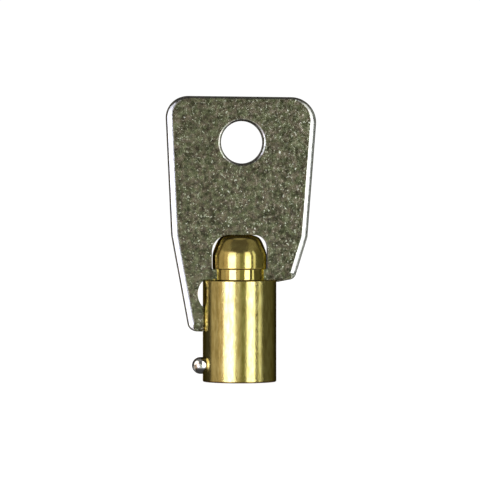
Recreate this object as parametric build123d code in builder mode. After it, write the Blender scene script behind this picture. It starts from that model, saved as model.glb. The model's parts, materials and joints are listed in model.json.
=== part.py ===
# Tubular key: a flat stamped bow carried on a short round barrel.
# Frame: origin on the barrel axis at the open rim, +Z up toward the bow,
# front face of the bow toward -Y, guide leg toward -X, locating pin a little forward of -X.
from build123d import *
import math
import os

os.makedirs("parts", exist_ok=True)

# driving dimensions, millimetres
BARREL_OD = 9.6
SOCKET_DIA = 7.8
SOCKET_DEPTH = 9.5
PLUG_DIA = 7.2
BARREL_LENGTH = 13.18
RIM_CHAMFER = 0.12
SHOULDER_CHAMFER = 0.2

PIN_DIA = 2.2
PIN_HEIGHT = 2.15
PIN_REACH_OUT = 6.34
PIN_ANGLE = 9.0
PIN_INNER_END = 3.9

GROOVE_DIA = 6.4
GROOVE_FLAT = 2.85
GROOVE_TOP = 14.65
FLAT_CUT = 2.0
HEAD_DIA = 7.06
HEAD_CHAMFER = 0.1
HEAD_SHOULDER_Z = 16.2
DOME_BASE_DIA = 6.66
DOME_BASE_Z = 17.2
DOME_TOP_DIA = 5.14
DOME_TOP_Z = 19.1
DOME_CORNER_R = 1.2

BOW_THICKNESS = 2.0
BOW_TILT = 0.85
TILT_CENTRE_Z = 18.5
# corners of the bow before it leans, each (x, height) with its radius
TOP_RIGHT, TOP_RIGHT_R = (9.93, 37.08), 3.3
TOP_LEFT, TOP_LEFT_R = (-9.98, 36.98), 2.8
LEFT_SHOULDER = (-8.88, 18.9)
RIGHT_SHOULDER = (8.8, 18.9)
SHOULDER_R = 1.5
LEG_CORNER, LEG_CORNER_R = (-6.4, 6.5), 1.3
LOWER_RIGHT, LOWER_RIGHT_R = (7.2, 13.47), 1.0
LOWER_INNER = (4.0, 12.75)
RING_HOLE_DIA = 5.5
RING_HOLE_X = 0.08
RING_HOLE_Z = 31.1
FACE_BEVEL_WIDTH = 0.8
FACE_BEVEL_DEPTH = 0.33
BACK_ROUND = 0.25
HOLE_BEVEL_WIDTH = 0.4
HOLE_BEVEL_DEPTH = 0.28
WINDOW_HALF = 3.6
WINDOW_TOP_Z = 19.15
WINDOW_CORNER_R = 2.0
WINDOW_BEVEL = 0.1
TAB_CORNER_R = 0.5
RELIEF_DEPTH = 0.72
RELIEF_LOW_Z = 9.7
RELIEF_HIGH_Z = BARREL_LENGTH
# bounds that pick the bow's edges apart: above the window, and outward of the barrel and the relief
ABOVE_WINDOW_Z = 20.0
CLEAR_OF_BARREL_X = 5.9
# how close a corner must lie to a height or a side to be picked
TOLERANCE = 0.01


# stamped bow: outline leaning a little to one side of the barrel axis
tilt = math.radians(BOW_TILT)
tilted_plane = Plane(
    origin=(0, 0, TILT_CENTRE_Z),
    x_dir=(math.cos(tilt), 0, -math.sin(tilt)),
    z_dir=(0, -1, 0),
)

# locating pin: points outward a little forward of -X
pin_turn = math.radians(PIN_ANGLE)
pin_direction = (-math.cos(pin_turn), -math.sin(pin_turn), 0)


def on_bow(corner):
    """A corner's place in the leaning plane's own coordinates."""
    return corner[0], corner[1] - TILT_CENTRE_Z


def along_pin(distance):
    """The point on the pin's axis this far from the barrel axis."""
    return distance * pin_direction[0], distance * pin_direction[1], PIN_HEIGHT


rounded_corners = [
    (TOP_RIGHT, TOP_RIGHT_R),
    (TOP_LEFT, TOP_LEFT_R),
    (LEFT_SHOULDER, SHOULDER_R),
    (RIGHT_SHOULDER, SHOULDER_R),
    (LEG_CORNER, LEG_CORNER_R),
    (LOWER_RIGHT, LOWER_RIGHT_R),
]

with BuildPart() as bow:
    with BuildSketch(tilted_plane) as outline:
        with BuildLine():
            Polyline(
                on_bow(TOP_LEFT),
                on_bow(TOP_RIGHT),
                on_bow(RIGHT_SHOULDER),
                on_bow(LOWER_RIGHT),
                on_bow(LOWER_INNER),
                on_bow((LOWER_INNER[0], LEG_CORNER[1])),
                on_bow(LEG_CORNER),
                on_bow(LEFT_SHOULDER),
                close=True,
            )
        make_face()
        for corner, radius in rounded_corners:
            fillet(outline.vertices().sort_by_distance(on_bow(corner))[0], radius=radius)
        with Locations(on_bow((RING_HOLE_X, RING_HOLE_Z))):
            Circle(RING_HOLE_DIA / 2, mode=Mode.SUBTRACT)
    extrude(amount=BOW_THICKNESS / 2, both=True)

    # arched window for the head, open below through the neck gap to the barrel
    with BuildSketch(Plane.XZ) as openings:
        with Locations((0, (WINDOW_TOP_Z + GROOVE_TOP) / 2)):
            Rectangle(2 * WINDOW_HALF, WINDOW_TOP_Z - GROOVE_TOP)
        window_corners = openings.vertices().group_by(Axis.Y)[-1]
        fillet(window_corners, radius=WINDOW_CORNER_R)
        with Locations((0, (GROOVE_TOP + BARREL_LENGTH) / 2)):
            Rectangle(2 * GROOVE_FLAT, GROOVE_TOP - BARREL_LENGTH)
        tab_corners = openings.vertices().filter_by_position(
            Axis.Y, GROOVE_TOP - TOLERANCE, GROOVE_TOP + TOLERANCE
        ).filter_by_position(Axis.X, -GROOVE_FLAT - TOLERANCE, GROOVE_FLAT + TOLERANCE)
        fillet(tab_corners, radius=TAB_CORNER_R)
        with Locations((0, BARREL_LENGTH / 2)):
            Rectangle(BARREL_OD, BARREL_LENGTH)
    extrude(amount=BOW_THICKNESS, both=True, mode=Mode.SUBTRACT)

    # shallow curved relief in the inner edge of the leg
    with BuildSketch(Plane.XZ) as relief:
        with BuildLine():
            Line((-BARREL_OD / 2, RELIEF_LOW_Z), (-BARREL_OD / 2, RELIEF_HIGH_Z))
            ThreePointArc(
                (-BARREL_OD / 2, RELIEF_HIGH_Z),
                (-BARREL_OD / 2 - RELIEF_DEPTH, (RELIEF_LOW_Z + RELIEF_HIGH_Z) / 2),
                (-BARREL_OD / 2, RELIEF_LOW_Z),
            )
        make_face()
    extrude(amount=BOW_THICKNESS, both=True, mode=Mode.SUBTRACT)

    # wide shallow bevel around the outside of the front face
    front = bow.faces().filter_by(Axis.Y).sort_by(Axis.Y)[0]
    rim_edges = ShapeList(
        e for e in front.outer_wire().edges()
        if e.center().Z > ABOVE_WINDOW_Z or abs(e.center().X) > CLEAR_OF_BARREL_X
    )
    chamfer(rim_edges, length=FACE_BEVEL_WIDTH, length2=FACE_BEVEL_DEPTH, reference=front)

    # narrower bevel around the ring hole on the front
    front = bow.faces().filter_by(Axis.Y).sort_by(Axis.Y)[0]
    hole_edge = front.inner_wires()[0].edges()
    chamfer(hole_edge, length=HOLE_BEVEL_WIDTH, length2=HOLE_BEVEL_DEPTH, reference=front)

    # small bevel around the window and along the tabs
    front = bow.faces().filter_by(Axis.Y).sort_by(Axis.Y)[0]
    window_edges = ShapeList(
        e for e in front.outer_wire().edges()
        if BARREL_LENGTH < e.center().Z < ABOVE_WINDOW_Z and abs(e.center().X) < LOWER_INNER[0]
    )
    chamfer(window_edges, length=WINDOW_BEVEL)

    # softened outline and ring hole on the back
    back = bow.faces().filter_by(Axis.Y).sort_by(Axis.Y)[-1]
    back_edges = ShapeList(
        e for e in back.edges()
        if e.center().Z > ABOVE_WINDOW_Z or abs(e.center().X) > CLEAR_OF_BARREL_X
    )
    fillet(back_edges, radius=BACK_ROUND)
bow.part.label = "bow"
bow.part.color = Color(0.42, 0.42, 0.36)


# brass barrel: the wide socket below, a narrower seat for the core above ---------
with BuildPart() as barrel:
    with BuildSketch(Plane.XY):
        Circle(BARREL_OD / 2)
        Circle(PLUG_DIA / 2, mode=Mode.SUBTRACT)
    extrude(amount=BARREL_LENGTH)
    with BuildSketch(Plane.XY):
        Circle(SOCKET_DIA / 2)
    extrude(amount=SOCKET_DEPTH, mode=Mode.SUBTRACT)
    rim_edge = barrel.edges().group_by(Axis.Z)[0].sort_by(SortBy.RADIUS)[-1]
    chamfer(rim_edge, length=RIM_CHAMFER)
    shoulder_edge = barrel.edges().group_by(Axis.Z)[-1].sort_by(SortBy.RADIUS)[-1]
    chamfer(shoulder_edge, length=SHOULDER_CHAMFER)
    # cross hole for the locating pin, from the axis outward, so through one wall only
    with Locations(Plane(origin=(0, 0, PIN_HEIGHT), z_dir=pin_direction)):
        Cylinder(
            PIN_DIA / 2,
            BARREL_OD,
            align=(Align.CENTER, Align.CENTER, Align.MIN),
            mode=Mode.SUBTRACT,
        )
barrel.part.label = "barrel"
barrel.part.color = Color(0.72, 0.58, 0.24)


# turned core: plug in the barrel, grooved neck and domed head -------------------
with BuildPart() as core:
    with BuildSketch(Plane.XZ):
        with BuildLine():
            Polyline(
                (HEAD_DIA / 2, HEAD_SHOULDER_Z),
                (HEAD_DIA / 2, GROOVE_TOP + HEAD_CHAMFER),
                (HEAD_DIA / 2 - HEAD_CHAMFER, GROOVE_TOP),
                (GROOVE_DIA / 2, GROOVE_TOP),
                (GROOVE_DIA / 2, BARREL_LENGTH),
                (PLUG_DIA / 2, BARREL_LENGTH),
                (PLUG_DIA / 2, SOCKET_DEPTH),
                (0, SOCKET_DEPTH),
                (0, DOME_TOP_Z),
                (DOME_TOP_DIA / 2, DOME_TOP_Z),
                (DOME_BASE_DIA / 2, DOME_BASE_Z),
            )
            TangentArc(
                (HEAD_DIA / 2, HEAD_SHOULDER_Z),
                (DOME_BASE_DIA / 2, DOME_BASE_Z),
                tangent=(0, 1),
            )
        make_face()
    revolve(axis=Axis.Z)
    crown_edge = core.edges().filter_by(GeomType.CIRCLE).sort_by(Axis.Z)[-1]
    fillet(crown_edge, radius=DOME_CORNER_R)
    # two flats across the neck, where the bow tabs sit
    with Locations((0, 0, (BARREL_LENGTH + GROOVE_TOP) / 2)):
        with Locations((GROOVE_FLAT, 0, 0)):
            Box(
                FLAT_CUT,
                BARREL_OD,
                GROOVE_TOP - BARREL_LENGTH,
                align=(Align.MIN, Align.CENTER, Align.CENTER),
                mode=Mode.SUBTRACT,
            )
        with Locations((-GROOVE_FLAT, 0, 0)):
            Box(
                FLAT_CUT,
                BARREL_OD,
                GROOVE_TOP - BARREL_LENGTH,
                align=(Align.MAX, Align.CENTER, Align.CENTER),
                mode=Mode.SUBTRACT,
            )
core.part.label = "core"
core.part.color = Color(0.76, 0.6, 0.22)


# locating pin: domed nib outside the barrel, inner end flush with the socket ----
with BuildPart() as pin:
    with Locations(Plane(origin=along_pin(PIN_INNER_END), z_dir=pin_direction)):
        Cylinder(
            PIN_DIA / 2,
            PIN_REACH_OUT - PIN_INNER_END - PIN_DIA / 2,
            align=(Align.CENTER, Align.CENTER, Align.MIN),
        )
    with Locations(along_pin(PIN_REACH_OUT - PIN_DIA / 2)):
        Sphere(PIN_DIA / 2)
pin.part.label = "locating_pin"
pin.part.color = Color(0.8, 0.8, 0.78)


export_step(bow.part, "parts/bow.step")
export_step(barrel.part, "parts/barrel.step")
export_step(core.part, "parts/core.step")
export_step(pin.part, "parts/locating_pin.step")
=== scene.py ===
import json
import math

import bmesh
import bpy
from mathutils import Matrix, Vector


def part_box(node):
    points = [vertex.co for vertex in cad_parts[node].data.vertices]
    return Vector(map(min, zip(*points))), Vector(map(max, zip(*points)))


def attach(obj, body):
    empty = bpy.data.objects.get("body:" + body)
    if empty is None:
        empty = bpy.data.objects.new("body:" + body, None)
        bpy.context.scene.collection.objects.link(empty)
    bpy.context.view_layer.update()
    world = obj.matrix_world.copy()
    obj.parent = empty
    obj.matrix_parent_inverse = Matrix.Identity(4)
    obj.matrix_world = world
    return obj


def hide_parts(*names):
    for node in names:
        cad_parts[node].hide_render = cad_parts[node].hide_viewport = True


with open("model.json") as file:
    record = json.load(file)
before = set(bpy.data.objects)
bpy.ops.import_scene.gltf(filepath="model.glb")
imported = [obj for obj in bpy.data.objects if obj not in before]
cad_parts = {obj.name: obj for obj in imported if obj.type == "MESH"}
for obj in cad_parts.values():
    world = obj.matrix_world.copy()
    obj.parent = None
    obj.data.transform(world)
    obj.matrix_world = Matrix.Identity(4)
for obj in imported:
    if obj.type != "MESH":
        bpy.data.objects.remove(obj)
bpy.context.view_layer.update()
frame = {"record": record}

# Visible model of the tubular key: bow, barrel, core and locating pin, one piece for each
# CAD node, and a studio of soft panels. The front is toward -Y and the guide leg toward -X.

# a millimetre, in Blender's metres
MM = 0.001


def corners_mm(node):
    """Lowest and highest corners of a CAD node, in millimetres."""
    low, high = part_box(node)
    return low / MM, high / MM


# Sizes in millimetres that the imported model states.
mounts = {mount["name"]: mount for mount in frame["record"]["mounts"]}
socket, ring_hole = mounts["socket"], mounts["ring_hole"]
_, barrel_high = corners_mm("barrel")
_, core_high = corners_mm("core")
pin_low, pin_high = corners_mm("locating_pin")
_, bow_high = corners_mm("bow")
BARREL_R = barrel_high.x
BARREL_TOP = barrel_high.z
SOCKET_R = socket["dims"]["r_mm"]
SOCKET_DEPTH = socket["dims"]["length_mm"]
PLUG_R = core_high.x
HEAD_TOP = core_high.z
PIN_R = (pin_high.z - pin_low.z) / 2
PIN_Z = (pin_high.z + pin_low.z) / 2
BOW_HALF = bow_high.y
RING_R = ring_hole["dims"]["r_mm"]
RING_CENTRE = Vector(ring_hole["pos_m"]) / MM

# The other driving sizes in millimetres. The main ones repeat the solids' own. The small
# rounds and chamfers are for the eye, where the solids have small chamfers or sharp corners.
# barrel and its socket
RIM_ROUND = 0.14
SOCKET_ROUND = 0.08
SOCKET_CHAMFER = 0.03
TOP_ROUND = 0.1
# how far down the seam between barrel and core the surface goes
SEAM_DEPTH = 0.3
# locating pin, its angle in degrees from -X toward the front; its inner end stops short
# of the socket wall by the inset
PIN_TIP = 6.34
PIN_ANGLE = 9.0
PIN_INSET = 0.02
PIN_CHAMFER = 0.05
# core: plug, neck and domed head; the visible neck is round, and the flats that the solid has
# there only place the bow's tabs, which run a little way into it
PLUG_CHAMFER = 0.05
NECK_R = 3.2
NECK_FLAT = 2.85
NECK_FOOT = 0.1
NECK_COLLAR = 0.05
HEAD_BOTTOM = 14.65
HEAD_R = 3.53
HEAD_ROUND = 0.15
# dome: height where it leaves the cylinder, height where its curve aims straight up to,
# and (radius, height) where its straight taper begins
DOME_START = 16.2
DOME_BEND = 16.7
DOME_BASE = (3.33, 17.2)
# crown: (radius, height) that the taper aims at, and the radius that the flat top aims at
CROWN_SIDE = (2.65, 18.9)
CROWN_FLAT_R = 2.66
# bow: its lean, about a point on the axis at this height
BOW_TILT = math.radians(0.85)
TILT_CENTRE = 18.5
# corners of the bow before it leans, each (x, height), and the radii that round them
TOP_RIGHT = (9.93, 37.08)
TOP_LEFT = (-9.98, 36.98)
LEFT_SHOULDER = (-8.88, 18.9)
RIGHT_SHOULDER = (8.8, 18.9)
LOWER_RIGHT = (7.2, 13.47)
TOP_RIGHT_R = 3.3
TOP_LEFT_R = 2.8
SHOULDER_R = 1.5
LOWER_RIGHT_R = 1.0
# guide leg: its outer lower corner before it leans, and its inner one beside the barrel
LEG_CORNER = (-6.4, 6.5)
LEG_CORNER_R = 1.3
LEG_INNER_Z = 6.52
LEG_INNER_R = 0.25
# shallow arc cut into the leg's inner edge
RELIEF_LOW = 9.7
RELIEF_DEPTH = 0.72
RELIEF_FOOT_R = 0.3
RELIEF_STEPS = 12
# corners where the bow sits on the barrel, and the height where its lower right edge meets
# the barrel's side
SEAT_R = 0.1
NOTCH_Z = 12.94
NOTCH_R = 0.05
TAB_R = 0.5
# window, uneven as in the photo; the solid's reaches 3.6 each side and 19.15 up
WINDOW_LEFT = 3.68
WINDOW_RIGHT = 3.6
WINDOW_TOP = 19.04
WINDOW_LEFT_R = 2.15
WINDOW_RIGHT_R = 1.65
WINDOW_FOOT_R = 0.15
# sides of the round shapes
TURNED_SIDES = 160
HOLE_SIDES = 96
PIN_SIDES = 64


# mesh helpers ---------------------------------------------------------------
# vertices closer than this, in millimetres, are one vertex
JOIN_WITHIN = 1e-5
# long sides of an outline are cut into pieces of at least this length, in millimetres
OUTLINE_STEP = 0.4
# steps of a rounded corner
STEPS_PER_RADIAN = 14
FEWEST_STEPS = 3
# no rounded corner takes more than this share of the side beside it
SIDE_SHARE = 0.49
# an inset corner point moves at most this many times the amount
MOST_STRETCH = 1.6


def finish_mesh(name, bm, node, material):
    """Turns a bmesh in millimetres into a piece that stands for one CAD node."""
    bmesh.ops.remove_doubles(bm, verts=bm.verts, dist=JOIN_WITHIN)
    bmesh.ops.scale(bm, vec=(MM, MM, MM), verts=bm.verts)
    mesh = bpy.data.meshes.new(name)
    bm.to_mesh(mesh)
    bm.free()
    piece = bpy.data.objects.new(name, mesh)
    bpy.context.scene.collection.objects.link(piece)
    mesh.materials.append(material)
    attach(piece, "root")
    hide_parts(node)
    return piece


def lathe(bm, profile, sides):
    """Adds the surface swept by (radius, height) points round the Z axis."""
    rings = []
    for radius, height in profile:
        if radius < JOIN_WITHIN:
            rings.append([bm.verts.new((0, 0, height))])
            continue
        ring = []
        for k in range(sides):
            a = 2 * math.pi * k / sides
            ring.append(bm.verts.new((radius * math.cos(a), radius * math.sin(a), height)))
        rings.append(ring)
    for low, high in zip(rings, rings[1:]):
        for k in range(sides):
            j = (k + 1) % sides
            corners = []
            for ring, index in ((low, k), (low, j), (high, j), (high, k)):
                vert = ring[index % len(ring)]
                if vert not in corners:
                    corners.append(vert)
            if len(corners) > 2:
                bm.faces.new(corners).smooth = True


def arc(centre, radius, start, end, steps):
    """Points on an arc, angles in degrees."""
    points = []
    for k in range(steps + 1):
        a = math.radians(start + (end - start) * k / steps)
        points.append((centre[0] + radius * math.cos(a), centre[1] + radius * math.sin(a)))
    return points


def bezier(controls, steps):
    """Points on the Bezier curve with these control points."""
    points = []
    for k in range(steps + 1):
        level = [Vector(control) for control in controls]
        while len(level) > 1:
            level = [one.lerp(two, k / steps) for one, two in zip(level, level[1:])]
        points.append(tuple(level[0]))
    return points


def round_corner(before, here, after, radius):
    """Points of the arc that rounds the corner here, between its neighbours on the outline."""
    to_before, to_after = before - here, after - here
    half_angle = to_before.angle(to_after) / 2
    cut = radius / math.tan(half_angle)
    cut = min(cut, to_before.length * SIDE_SHARE, to_after.length * SIDE_SHARE)
    radius = cut * math.tan(half_angle)
    bisector = (to_before.normalized() + to_after.normalized()).normalized()
    centre = here + bisector * (radius / math.sin(half_angle))
    first = here + to_before.normalized() * cut - centre
    last = here + to_after.normalized() * cut - centre
    start = math.atan2(first.y, first.x)
    turn = (math.atan2(last.y, last.x) - start + math.pi) % (2 * math.pi) - math.pi
    steps = max(FEWEST_STEPS, int(abs(turn) * STEPS_PER_RADIAN))
    return arc(centre, radius, math.degrees(start), math.degrees(start + turn), steps)


def subdivide(points):
    """Cuts the long sides of a closed outline, its points being (x, z, bevel width)."""
    dense = []
    for i, here in enumerate(points):
        there = points[(i + 1) % len(points)]
        pieces = max(1, int(math.dist(here[:2], there[:2]) / OUTLINE_STEP))
        for k in range(pieces):
            dense.append(tuple(one + (two - one) * k / pieces for one, two in zip(here, there)))
    return dense


def rounded_outline(corners):
    """Closed outline, as (x, z, bevel width), through rounded corners (x, z, radius, width after it)."""
    points = []
    for i, (x, z, radius, width) in enumerate(corners):
        if radius == 0:
            points.append((x, z, width))
            continue
        before, after = corners[i - 1], corners[(i + 1) % len(corners)]
        bend = round_corner(Vector(before[:2]), Vector((x, z)), Vector(after[:2]), radius)
        # the bevel changes width along the bend
        for k, place in enumerate(bend):
            share = k / (len(bend) - 1)
            points.append((*place, before[3] + (width - before[3]) * share))
    return subdivide(points)


def inset(points, amounts):
    """Each point of a closed outline moved to its left by its own amount, a little more at a corner."""
    moved = []
    for i, (x, z) in enumerate(points):
        here = Vector((x, z))
        arriving = (here - Vector(points[i - 1])).normalized()
        leaving = (Vector(points[(i + 1) % len(points)]) - here).normalized()
        left = Vector((-arriving.y, arriving.x))
        aside = (left + Vector((-leaving.y, leaving.x))).normalized()
        stretch = min(MOST_STRETCH, 1 / aside.dot(left))
        moved.append(here + aside * amounts[i] * stretch)
    return moved


# materials ----------------------------------------------------------------------
# texture stretch that is the same all ways
EVEN = (1, 1, 1)
# name of the mesh attribute that says how far an edge is burnished
WORN = "worn_edge"
# colours, linear red, green and blue
BLACK = (0, 0, 0)
WHITE = (1, 1, 1)
STEEL_DARK = (0.105, 0.1, 0.08)
STEEL_PALE = (0.54, 0.515, 0.455)
GREEN_CAST = (0.93, 0.99, 0.78)
PINK_CAST = (1.03, 0.9, 0.86)
FLECK = (0.9, 0.885, 0.8)
BURNISHED = (0.45, 0.44, 0.4)
# brown of the painted shade along the barrel's bottom rim
RIM_SHADE_BROWN = (0.3, 0.2, 0.16)
PIN_BRIGHT = (0.95, 0.94, 0.9)
# brown of the painted reflection of the brass barrel on the pin end
PIN_BROWN = (0.5, 0.38, 0.26)
# heights in millimetres between which the painted shade on the barrel's bottom rim fades out
RIM_SHADE_HEIGHTS = (0.12, 0.24)
# how much rougher the head is than the neck below it, and the height it takes to change
HEAD_DULLNESS = 0.07
HEAD_DULL_RISE = 0.1


def new_material(name, edge_tint):
    """A metal; edge_tint is what is left of its reflection where it turns away from the eye."""
    material = bpy.data.materials.new(name)
    material.use_nodes = True
    nodes = material.node_tree.nodes
    shader = nodes["Principled BSDF"]
    shader.inputs["Metallic"].default_value = 1.0
    shader.inputs["Specular Tint"].default_value = (*edge_tint, 1)
    return material, nodes, material.node_tree.links, shader


def texture_place(nodes, links, stretch):
    """Object coordinates in millimetres, squeezed along each axis by stretch."""
    coords = nodes.new("ShaderNodeTexCoord")
    mapping = nodes.new("ShaderNodeMapping")
    mapping.inputs["Scale"].default_value = [s / MM for s in stretch]
    links.new(coords.outputs["Object"], mapping.inputs["Vector"])
    return mapping.outputs["Vector"]


def noise(nodes, links, place, scale, detail=3.0, roughness=0.55):
    """Smooth noise between 0 and 1, about scale waves for each millimetre of the place."""
    node = nodes.new("ShaderNodeTexNoise")
    node.inputs["Scale"].default_value = scale
    node.inputs["Detail"].default_value = detail
    node.inputs["Roughness"].default_value = roughness
    links.new(place, node.inputs["Vector"])
    return node.outputs["Fac"]


def ramp(nodes, links, value, low, high, colour_low, colour_high):
    """A two-colour ramp between two values."""
    node = nodes.new("ShaderNodeValToRGB")
    node.color_ramp.elements[0].position = low
    node.color_ramp.elements[1].position = high
    node.color_ramp.elements[0].color = (*colour_low, 1)
    node.color_ramp.elements[1].color = (*colour_high, 1)
    links.new(value, node.inputs["Fac"])
    return node.outputs["Color"]


def spread(nodes, links, value, low, high):
    """Maps 0..1 to low..high."""
    node = nodes.new("ShaderNodeMapRange")
    node.inputs["To Min"].default_value = low
    node.inputs["To Max"].default_value = high
    links.new(value, node.inputs["Value"])
    return node.outputs["Result"]


def feed(links, socket, value):
    """Links another node's output to the socket, or sets the socket to a plain value."""
    if isinstance(value, bpy.types.NodeSocket):
        links.new(value, socket)
    else:
        socket.default_value = value


def mix(nodes, links, factor, one, two, kind="RGBA", blend="MIX"):
    """Mixes two colours, or two numbers when kind is FLOAT."""
    node = nodes.new("ShaderNodeMix")
    node.data_type = kind
    node.blend_type = blend
    feed(links, node.inputs["Factor"], factor)
    feed(links, node.inputs["A"], one)
    feed(links, node.inputs["B"], two)
    return node.outputs["Result"]


def bump(nodes, links, height, strength, distance_mm, normal=None):
    """A bump whose strength is a number or another node's output."""
    node = nodes.new("ShaderNodeBump")
    feed(links, node.inputs["Strength"], strength)
    node.inputs["Distance"].default_value = distance_mm * MM
    links.new(height, node.inputs["Height"])
    if normal is not None:
        links.new(normal, node.inputs["Normal"])
    return node.outputs["Normal"]


def plated_steel():
    """Dull nickel plate over tumbled steel: mottled, flecked and pitted faces, edges burnished smooth."""
    material, nodes, links, shader = new_material("plated_steel", edge_tint=(0.2, 0.2, 0.18))
    place = texture_place(nodes, links, EVEN)
    edge = nodes.new("ShaderNodeAttribute")
    edge.attribute_name = WORN
    worn = edge.outputs["Fac"]
    mottle = noise(nodes, links, place, scale=1.6, detail=6, roughness=0.72)
    ground = ramp(nodes, links, mottle, 0.37, 0.65, STEEL_DARK, STEEL_PALE)
    patches = noise(nodes, links, place, scale=1.1, detail=2)
    cast = ramp(nodes, links, patches, 0.4, 0.6, GREEN_CAST, PINK_CAST)
    stained = mix(nodes, links, 1.0, ground, cast, blend="MULTIPLY")
    specks = noise(nodes, links, place, scale=3.6, detail=1, roughness=0.5)
    flecked = ramp(nodes, links, specks, 0.645, 0.7, BLACK, WHITE)
    face = mix(nodes, links, flecked, stained, (*FLECK, 1))
    links.new(mix(nodes, links, worn, face, (*BURNISHED, 1)), shader.inputs["Base Color"])
    polish = noise(nodes, links, place, scale=2.6, detail=3)
    dull = spread(nodes, links, polish, 0.14, 0.3)
    links.new(mix(nodes, links, worn, dull, 0.16, kind="FLOAT"), shader.inputs["Roughness"])
    # pits and grain nearly fade out where the edge is burnished
    depth = mix(nodes, links, worn, 1.0, 0.12, kind="FLOAT")
    pits = nodes.new("ShaderNodeTexVoronoi")
    pits.feature = "SMOOTH_F1"
    pits.inputs["Scale"].default_value = 2.4
    links.new(place, pits.inputs["Vector"])
    pitted = bump(nodes, links, pits.outputs["Distance"], depth, distance_mm=0.03)
    grain = noise(nodes, links, place, scale=2.8, detail=2, roughness=0.6)
    grained = bump(nodes, links, grain, depth, distance_mm=0.03, normal=pitted)
    links.new(grained, shader.inputs["Normal"])
    return material


def brass(name, deep, bright, tint_stretch, grain_stretch, grain_strength, rough_low, rough_high):
    """Brass with grain along one direction, a little tarnish, uneven polish and painted shade darkening its
    lower rim.
    """
    material, nodes, links, shader = new_material(name, edge_tint=(0.2, 0.16, 0.08))
    place = texture_place(nodes, links, EVEN)
    streaks = texture_place(nodes, links, grain_stretch)
    patches = texture_place(nodes, links, tint_stretch)
    tarnish = noise(nodes, links, patches, scale=1, detail=5, roughness=0.6)
    tint = ramp(nodes, links, tarnish, 0.35, 0.7, deep, bright)
    along = nodes.new("ShaderNodeSeparateXYZ")
    links.new(place, along.inputs["Vector"])
    height = along.outputs["Z"]
    # painted shade: the bottom of the rim is darkened brown, fading out between the two heights
    rim = ramp(nodes, links, height, *RIM_SHADE_HEIGHTS, RIM_SHADE_BROWN, WHITE)
    links.new(mix(nodes, links, 1.0, tint, rim, blend="MULTIPLY"), shader.inputs["Base Color"])
    polish = noise(nodes, links, streaks, scale=2, detail=4)
    # the head is a little less polished than the neck below it
    satin = nodes.new("ShaderNodeMapRange")
    satin.inputs["From Min"].default_value = HEAD_BOTTOM
    satin.inputs["From Max"].default_value = HEAD_BOTTOM + HEAD_DULL_RISE
    satin.inputs["To Max"].default_value = HEAD_DULLNESS
    links.new(height, satin.inputs["Value"])
    rough = nodes.new("ShaderNodeMath")
    rough.operation = "ADD"
    links.new(spread(nodes, links, polish, rough_low, rough_high), rough.inputs[0])
    links.new(satin.outputs["Result"], rough.inputs[1])
    links.new(rough.outputs["Value"], shader.inputs["Roughness"])
    grain = noise(nodes, links, streaks, scale=3, detail=3, roughness=0.6)
    links.new(bump(nodes, links, grain, grain_strength, distance_mm=0.012), shader.inputs["Normal"])
    return material


def tube_brass():
    """Drawn tube, with fine lengthwise grain."""
    return brass(
        "brass_tube",
        deep=(0.62, 0.48, 0.15),
        bright=(0.88, 0.74, 0.3),
        tint_stretch=(2.6, 2.6, 0.7),
        grain_stretch=(5, 5, 0.9),
        grain_strength=0.6,
        rough_low=0.08,
        rough_high=0.2,
    )


def turned_brass():
    """Turned and polished, with faint marks round the axis."""
    return brass(
        "brass_turned",
        deep=(0.66, 0.5, 0.15),
        bright=(0.82, 0.67, 0.22),
        tint_stretch=(0.9, 0.9, 0.9),
        grain_stretch=(1, 1, 4),
        grain_strength=0.1,
        rough_low=0.06,
        rough_high=0.15,
    )


def bright_steel():
    """Bright pin end with brown patches painted on as the brass barrel's reflection."""
    material, nodes, links, shader = new_material("bright_steel", edge_tint=(0.05, 0.05, 0.05))
    place = texture_place(nodes, links, EVEN)
    # painted reflection: noise patches of brown stand in for the brass barrel seen in the pin end
    reflection_patches = noise(nodes, links, place, scale=1.1, detail=3)
    tint = ramp(nodes, links, reflection_patches, 0.5, 0.6, PIN_BRIGHT, PIN_BROWN)
    links.new(tint, shader.inputs["Base Color"])
    polish = noise(nodes, links, place, scale=2.5, detail=3)
    links.new(spread(nodes, links, polish, 0.1, 0.2), shader.inputs["Roughness"])
    links.new(bump(nodes, links, polish, 0.25, distance_mm=0.03), shader.inputs["Normal"])
    return material


# bow -----------------------------------------------------------------------------
# widths of its bevels in millimetres, and how deep each kind goes for its width
OUTER_BEVEL = 0.82
TOP_BEVEL = 0.35
HOLE_BEVEL = 0.38
INNER_BEVEL = 0.06
WIDE_SLOPE = 0.427
ROUND_SLOPE = 1.0
BACK_RADIUS = 0.25
BACK_STEPS = 5
# front edge, as (share of the bevel's width, share of its depth), from the side wall inward:
# a wide edge is a rounded lip and then a flat slope, a narrow one is a quarter round
WIDE_EDGE = bezier([(0, 1), (0.023, 0.657), (0.19, 0.506)], steps=4)
WIDE_EDGE += [(0.55, 0.265), (0.9, 0.03), (1, 0)]
ROUND_EDGE = arc((1, 1), 1, 180, 270, steps=7)
# how burnished each step of the front edge is, from the side wall inward
BURNISH = [0, 0, 0.1, 0.7, 1, 1, 1, 0]


def tilted(x, z):
    """A point of the bow's own outline, turned with the bow's lean."""
    c, s = math.cos(BOW_TILT), math.sin(BOW_TILT)
    dz = z - TILT_CENTRE
    return x * c + dz * s, TILT_CENTRE - x * s + dz * c


def relief_bulge():
    """Points of the shallow arc cut into the leg's inner edge beside the barrel, from its foot upward."""
    half = (BARREL_TOP - RELIEF_LOW) / 2
    radius = (half * half + RELIEF_DEPTH * RELIEF_DEPTH) / (2 * RELIEF_DEPTH)
    reach = math.degrees(math.asin(half / radius))
    centre = (-BARREL_R - RELIEF_DEPTH + radius, RELIEF_LOW + half)
    return arc(centre, radius, 180 + reach, 180 - reach, RELIEF_STEPS)[1:-1]


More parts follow.
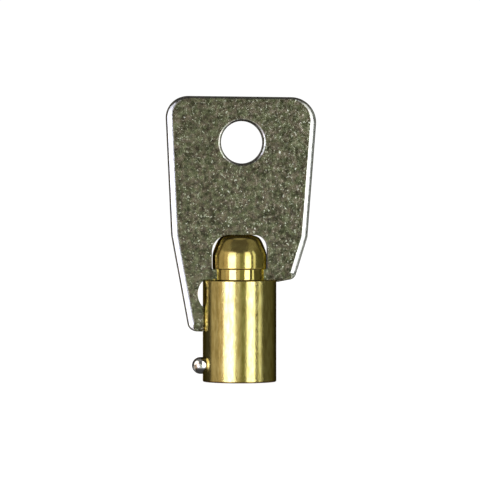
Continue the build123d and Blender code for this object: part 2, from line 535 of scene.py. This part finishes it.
def bow_outline():
    """The stamping's outline with the open window in it, anticlockwise seen from the front."""
    wide, narrow = OUTER_BEVEL, INNER_BEVEL
    corners = [
        (*tilted(*TOP_RIGHT), TOP_RIGHT_R, TOP_BEVEL),
        (*tilted(*TOP_LEFT), TOP_LEFT_R, wide),
        (*tilted(*LEFT_SHOULDER), SHOULDER_R, wide),
        (*tilted(*LEG_CORNER), LEG_CORNER_R, narrow),
        (-BARREL_R, LEG_INNER_Z, LEG_INNER_R, narrow),
        (-BARREL_R, RELIEF_LOW, RELIEF_FOOT_R, narrow),
    ]
    corners += [(x, z, 0, narrow) for x, z in relief_bulge()]
    corners += [
        (-BARREL_R, BARREL_TOP, SEAT_R, narrow),
        (-NECK_FLAT, BARREL_TOP, SEAT_R, narrow),
        (-NECK_FLAT, HEAD_BOTTOM, TAB_R, narrow),
        (-WINDOW_LEFT, HEAD_BOTTOM, WINDOW_FOOT_R, narrow),
        (-WINDOW_LEFT, WINDOW_TOP, WINDOW_LEFT_R, narrow),
        (WINDOW_RIGHT, WINDOW_TOP, WINDOW_RIGHT_R, narrow),
        (WINDOW_RIGHT, HEAD_BOTTOM, WINDOW_FOOT_R, narrow),
        (NECK_FLAT, HEAD_BOTTOM, TAB_R, narrow),
        (NECK_FLAT, BARREL_TOP, SEAT_R, narrow),
        (BARREL_R, BARREL_TOP, NOTCH_R, narrow),
        (BARREL_R, NOTCH_Z, NOTCH_R, narrow),
        (*tilted(*LOWER_RIGHT), LOWER_RIGHT_R, wide),
        (*tilted(*RIGHT_SHOULDER), SHOULDER_R, wide),
    ]
    return rounded_outline(corners)


def ring_outline():
    """The ring hole, as (x, z, bevel width), clockwise seen from the front."""
    hole = arc((RING_CENTRE.x, RING_CENTRE.z), RING_R, 0, -360, HOLE_SIDES)[:-1]
    return [(x, z, HOLE_BEVEL) for x, z in hole]


def edge_strips(bm, outline):
    """Side wall with its front bevel and back rounding; returns the front and back face loops."""
    places = [(x, z) for x, z, width in outline]
    widths = [width for x, z, width in outline]
    # 0 where the edge is a narrow quarter round, 1 where it is the wide bevel
    flatness = [(width - INNER_BEVEL) / (OUTER_BEVEL - INNER_BEVEL) for width in widths]
    levels = []
    for (wide_in, wide_down), (round_in, round_down) in zip(WIDE_EDGE[::-1], ROUND_EDGE[::-1]):
        across = []
        down = []
        for width, flat in zip(widths, flatness):
            across.append(width * (round_in + (wide_in - round_in) * flat))
            down.append(width * (ROUND_SLOPE * round_down * (1 - flat) + WIDE_SLOPE * wide_down * flat))
        moved = inset(places, across)
        levels.append([(x, depth - BOW_HALF, z) for (x, z), depth in zip(moved, down)])
    for x, y in arc((BACK_RADIUS, BOW_HALF - BACK_RADIUS), BACK_RADIUS, 180, 90, BACK_STEPS):
        moved = inset(places, [x] * len(places))
        levels.append([(place[0], y, place[1]) for place in moved])
    worn = bm.verts.layers.float.get(WORN) or bm.verts.layers.float.new(WORN)
    rings = [[bm.verts.new(point) for point in level] for level in levels]
    for ring, burnish in zip(rings, BURNISH[::-1]):
        for vert, flat in zip(ring, flatness):
            vert[worn] = burnish * flat
    for front, back in zip(rings, rings[1:]):
        for i in range(len(front)):
            j = (i + 1) % len(front)
            bm.faces.new((front[i], front[j], back[j], back[i])).smooth = True
    return rings[0], rings[-1]


def loop_edges(bm, ring):
    """The edges that join a closed loop of vertices."""
    edges = []
    for i in range(len(ring)):
        edges.append(bm.edges.get((ring[i], ring[(i + 1) % len(ring)])))
    return edges


def make_bow(material):
    """Flat stamping with a bevelled front edge, ring hole, window and guide leg."""
    bm = bmesh.new()
    outer_front, outer_back = edge_strips(bm, bow_outline())
    hole_front, hole_back = edge_strips(bm, ring_outline())
    for outer, inner in ((outer_front, hole_front), (outer_back, hole_back)):
        edges = loop_edges(bm, outer) + loop_edges(bm, inner)
        bmesh.ops.triangle_fill(bm, use_beauty=True, edges=edges)
    bmesh.ops.recalc_face_normals(bm, faces=bm.faces)
    return finish_mesh("bow_plate", bm, "bow", material)


# barrel, core and locating pin --------------------------------------------------------
# a ring this far past each rounded edge keeps the straight stretch beyond it flat
SUPPORT = 0.06


def make_barrel(material):
    """Tube: down the socket's wall, round the open rim, up the outside and in to the core's seam."""
    bm = bmesh.new()
    profile = [
        (PLUG_R, SOCKET_DEPTH),
        (SOCKET_R - SOCKET_CHAMFER, SOCKET_DEPTH),
        (SOCKET_R, SOCKET_DEPTH - SOCKET_CHAMFER),
    ]
    profile += arc((SOCKET_R + SOCKET_ROUND, SOCKET_ROUND), SOCKET_ROUND, 180, 270, steps=4)
    profile += arc((BARREL_R - RIM_ROUND, RIM_ROUND), RIM_ROUND, -90, 0, steps=5)
    profile += [(BARREL_R, RIM_ROUND + SUPPORT), (BARREL_R, BARREL_TOP - TOP_ROUND - SUPPORT)]
    profile += arc((BARREL_R - TOP_ROUND, BARREL_TOP - TOP_ROUND), TOP_ROUND, 0, 90, steps=4)
    profile += [(PLUG_R, BARREL_TOP), (PLUG_R, BARREL_TOP - SEAM_DEPTH)]
    lathe(bm, profile, TURNED_SIDES)
    bmesh.ops.recalc_face_normals(bm, faces=bm.faces)
    return finish_mesh("barrel_tube", bm, "barrel", material)


def make_core(material):
    """Plug inside the barrel, narrow neck and domed head."""
    bm = bmesh.new()
    profile = [
        (0, SOCKET_DEPTH),
        (PLUG_R, SOCKET_DEPTH),
        (PLUG_R, BARREL_TOP - PLUG_CHAMFER),
        (PLUG_R - PLUG_CHAMFER, BARREL_TOP),
        (NECK_R + NECK_FOOT, BARREL_TOP),
        (NECK_R, BARREL_TOP + NECK_FOOT),
        (NECK_R, BARREL_TOP + NECK_FOOT + SUPPORT),
        (NECK_R, HEAD_BOTTOM - NECK_COLLAR - SUPPORT),
        (NECK_R, HEAD_BOTTOM - NECK_COLLAR),
        (NECK_R + NECK_COLLAR, HEAD_BOTTOM),
    ]
    profile += arc((HEAD_R - HEAD_ROUND, HEAD_BOTTOM + HEAD_ROUND), HEAD_ROUND, -90, 0, steps=4)
    profile += [(HEAD_R, HEAD_BOTTOM + HEAD_ROUND + SUPPORT)]
    # the dome leaves the cylinder smoothly, tapers, then rounds over at the top
    profile += bezier([(HEAD_R, DOME_START), (HEAD_R, DOME_BEND), DOME_BASE], steps=8)
    crown = [DOME_BASE, CROWN_SIDE, (CROWN_FLAT_R, HEAD_TOP), (0, HEAD_TOP)]
    profile += bezier(crown, steps=20)[1:]
    lathe(bm, profile, TURNED_SIDES)
    bmesh.ops.recalc_face_normals(bm, faces=bm.faces)
    return finish_mesh("core_head", bm, "core", material)


def make_pin(material):
    """Round pin from the socket wall outward, ending in a half ball."""
    bm = bmesh.new()
    start = SOCKET_R + PIN_INSET
    dome = PIN_TIP - PIN_R
    profile = [(0, start), (PIN_R - PIN_CHAMFER, start), (PIN_R, start + PIN_CHAMFER), (PIN_R, dome)]
    profile += arc((0, dome), PIN_R, 0, 90, steps=16)[1:-1]
    profile += [(0, PIN_TIP)]
    lathe(bm, profile, PIN_SIDES)
    # lay the pin down along -X, turned a little toward the front, at its height
    forward = math.radians(PIN_ANGLE)
    c, s = math.cos(forward), math.sin(forward)
    for vert in bm.verts:
        x, y, z = vert.co
        vert.co = (-z * c - y * s, y * c - z * s, PIN_Z + x)
    bmesh.ops.recalc_face_normals(bm, faces=bm.faces)
    return finish_mesh("pin_nib", bm, "locating_pin", material)


# camera, light and floor, in metres and degrees ------------------------------------
CAMERA_AZIMUTH = -5.5
CAMERA_DISTANCE = 0.48
CAMERA_HEIGHT = 0.0265
AIM_X = 0.00006
AIM_HEIGHT = 0.0184
LENS_MM = 277
SENSOR_MM = 36
# the soft panels stand this far off, and their elevations are counted from this height
PANEL_DISTANCE = 0.9
PANEL_LEVEL = 0.018
# bands of the main panels, (lowest and highest elevation, share of the panel's radiance):
# brightest at the key's own height
MAIN_BANDS = ((-30, -17, 0.25), (-17, -8, 0.7), (-8, 8, 1.0), (8, 17, 0.7), (17, 28, 0.5))
# main panels, (name, azimuths from the camera's own and positive to its right, colour, radiance)
MAIN_PANELS = (
    ("left_panel", (-48.5, -16), (0.76, 0.79, 1.0), 4.5),
    ("right_panel", (24.5, 48), (0.9, 0.95, 1.0), 3.6),
)
# the rest, (name, azimuths, elevations, colour, radiance)
SIDE_PANELS = (
    ("left_fill", (-70, -49.5), (-30, 28), (1.0, 0.85, 0.72), 0.56),
    ("left_edge", (-100, -72), (-30, 28), (1.0, 0.88, 0.75), 0.38),
    ("left_high", (-100, -54), (29, 62), (1.0, 0.9, 0.7), 0.13),
    ("left_shoulder", (-53, -44), (28.5, 39), (1.0, 0.93, 0.75), 0.2),
    ("front_left_fill", (-13, 1), (-30, 22), (1.0, 1.0, 0.92), 0.62),
    ("front_right_fill", (1, 23), (-30, 22), (0.88, 1.0, 0.5), 0.2),
    ("right_strip", (61, 71), (-30, 28), (0.9, 1.0, 0.92), 1.25),
    ("right_high", (54, 100), (29, 62), (0.95, 1.0, 0.8), 0.12),
    ("right_shoulder", (42, 52), (28.5, 39), (0.95, 1.0, 0.75), 0.16),
    ("right_edge", (74, 130), (-30, 28), (0.9, 1.0, 0.4), 0.05),
)
# two glints that only the polished nib shows
NIB_PANELS = (
    ("nib_glint_left", (-95, -28), (12, 58), (1.0, 1.0, 0.97), 1.6),
    ("nib_glint_right", (30, 75), (12, 58), (1.0, 1.0, 0.97), 1.6),
)
BACK_PANEL = ("back_panel", (163, 203), (-20, 30), (1.0, 1.0, 1.0), 0.7)
TOP_PANEL_WIDTH = 0.7
TOP_PANEL_HEIGHT = 1.0
TOP_PANEL_RADIANCE = 0.18
# grey of the room from straight down, 0, to straight up, 1: dim, with a paler band
# below the horizon, as a floor would give
ROOM_GREYS = ((0.0, 0.05), (0.12, 0.05), (0.25, 0.3), (0.42, 0.22), (0.455, 0.05), (0.55, 0.05), (0.8, 0.1))
BACKDROP_STRENGTH = 1.05
FLOOR_R = 0.6
FLOOR_SIDES = 96
FLOOR_GREY = 0.9
FLOOR_GLOW = 0.92
# the floor lies just under the rim, so the two don't share a plane
FLOOR_Z = -0.1 * MM


def around(azimuth, distance, height=0.0):
    """A place at an azimuth seen from the key, 0 in front of it and 90 toward +X."""
    a = math.radians(azimuth)
    return Vector((distance * math.sin(a), -distance * math.cos(a), height))


def face_toward(thing, direction):
    """Turns a camera or light to look along a direction, upright."""
    thing.rotation_euler = direction.to_track_quat("-Z", "Y").to_euler()


def make_camera():
    """Long lens a little to the left of the key, as in the photo."""
    camera = bpy.data.objects.new("camera", bpy.data.cameras.new("camera"))
    bpy.context.scene.collection.objects.link(camera)
    camera.data.lens = LENS_MM
    camera.data.sensor_width = SENSOR_MM
    camera.data.clip_start = 0.01
    camera.data.clip_end = 10
    camera.location = around(CAMERA_AZIMUTH, CAMERA_DISTANCE, CAMERA_HEIGHT)
    face_toward(camera, Vector((AIM_X, 0, AIM_HEIGHT)) - camera.location)
    bpy.context.scene.camera = camera


def area_light(name, shape, area, radiance):
    """An area light that the camera doesn't see; its power is radiance times pi times its area."""
    light = bpy.data.lights.new(name, "AREA")
    light.shape = shape
    light.energy = radiance * math.pi * area
    panel = bpy.data.objects.new(name, light)
    bpy.context.scene.collection.objects.link(panel)
    panel.visible_camera = False
    return panel


def softbox(name, azimuths, elevations, colour, radiance):
    """An upright soft panel that fills a range of azimuths and elevations seen from the key."""
    first, last = azimuths
    width = 2 * PANEL_DISTANCE * math.tan(math.radians((last - first) / 2))
    bottom, top = [PANEL_DISTANCE * math.tan(math.radians(angle)) for angle in elevations]
    panel = area_light(name, "RECTANGLE", width * (top - bottom), radiance)
    panel.data.size = width
    panel.data.size_y = top - bottom
    panel.data.color = colour
    height = PANEL_LEVEL + (bottom + top) / 2
    panel.location = around(CAMERA_AZIMUTH + (first + last) / 2, PANEL_DISTANCE, height)
    face_toward(panel, Vector((-panel.location.x, -panel.location.y, 0)))
    return panel


def make_lights(nib):
    """All the soft panels; two of them light the nib alone."""
    for low, high, share in MAIN_BANDS:
        for name, azimuths, colour, radiance in MAIN_PANELS:
            softbox(f"{name}_{low}", azimuths, (low, high), colour, radiance * share)
    for panel in SIDE_PANELS:
        softbox(*panel)
    for panel in NIB_PANELS:
        glint = softbox(*panel)
        only_nib = bpy.data.collections.new(f"{glint.name}_lights")
        only_nib.objects.link(nib)
        glint.light_linking.receiver_collection = only_nib
    softbox(*BACK_PANEL)
    top = area_light("top_panel", "DISK", math.pi * (TOP_PANEL_WIDTH / 2) ** 2, TOP_PANEL_RADIANCE)
    top.data.size = TOP_PANEL_WIDTH
    top.location.z = TOP_PANEL_HEIGHT


def make_world():
    """White to the camera; to light and reflections a dim room with a pale band below the horizon."""
    world = bpy.data.worlds.new("studio")
    bpy.context.scene.world = world
    world.use_nodes = True
    nodes, links = world.node_tree.nodes, world.node_tree.links
    nodes.clear()
    coords = nodes.new("ShaderNodeTexCoord")
    direction = nodes.new("ShaderNodeSeparateXYZ")
    links.new(coords.outputs["Generated"], direction.inputs["Vector"])
    rise = nodes.new("ShaderNodeMapRange")
    rise.inputs["From Min"].default_value = -1
    links.new(direction.outputs["Z"], rise.inputs["Value"])
    band = nodes.new("ShaderNodeValToRGB")
    for position, _ in ROOM_GREYS[1:-1]:
        band.color_ramp.elements.new(position)
    for element, (position, grey) in zip(band.color_ramp.elements, ROOM_GREYS):
        element.position = position
        element.color = (grey, grey, grey, 1)
    links.new(rise.outputs["Result"], band.inputs["Fac"])
    room = nodes.new("ShaderNodeBackground")
    links.new(band.outputs["Color"], room.inputs["Color"])
    white = nodes.new("ShaderNodeBackground")
    white.inputs["Color"].default_value = (1, 1, 1, 1)
    white.inputs["Strength"].default_value = BACKDROP_STRENGTH
    path = nodes.new("ShaderNodeLightPath")
    choice = nodes.new("ShaderNodeMixShader")
    links.new(path.outputs["Is Camera Ray"], choice.inputs["Fac"])
    links.new(room.outputs["Background"], choice.inputs[1])
    links.new(white.outputs["Background"], choice.inputs[2])
    output = nodes.new("ShaderNodeOutputWorld")
    links.new(choice.outputs["Shader"], output.inputs["Surface"])


def make_floor():
    """Plain pale disc that reflections don't show."""
    bm = bmesh.new()
    bmesh.ops.create_circle(bm, cap_ends=True, segments=FLOOR_SIDES, radius=FLOOR_R)
    mesh = bpy.data.meshes.new("floor")
    bm.to_mesh(mesh)
    bm.free()
    floor = bpy.data.objects.new("floor", mesh)
    bpy.context.scene.collection.objects.link(floor)
    material = bpy.data.materials.new("pale_floor")
    material.use_nodes = True
    shader = material.node_tree.nodes["Principled BSDF"]
    shader.inputs["Base Color"].default_value = (FLOOR_GREY, FLOOR_GREY, FLOOR_GREY, 1)
    shader.inputs["Roughness"].default_value = 0.9
    shader.inputs["Emission Color"].default_value = (1, 1, 1, 1)
    shader.inputs["Emission Strength"].default_value = FLOOR_GLOW
    mesh.materials.append(material)
    floor.visible_glossy = False
    floor.location.z = FLOOR_Z


make_camera()
make_bow(plated_steel())
make_barrel(tube_brass())
make_core(turned_brass())
make_lights(make_pin(bright_steel()))
make_world()
make_floor()
bpy.context.scene.view_settings.view_transform = "Standard"
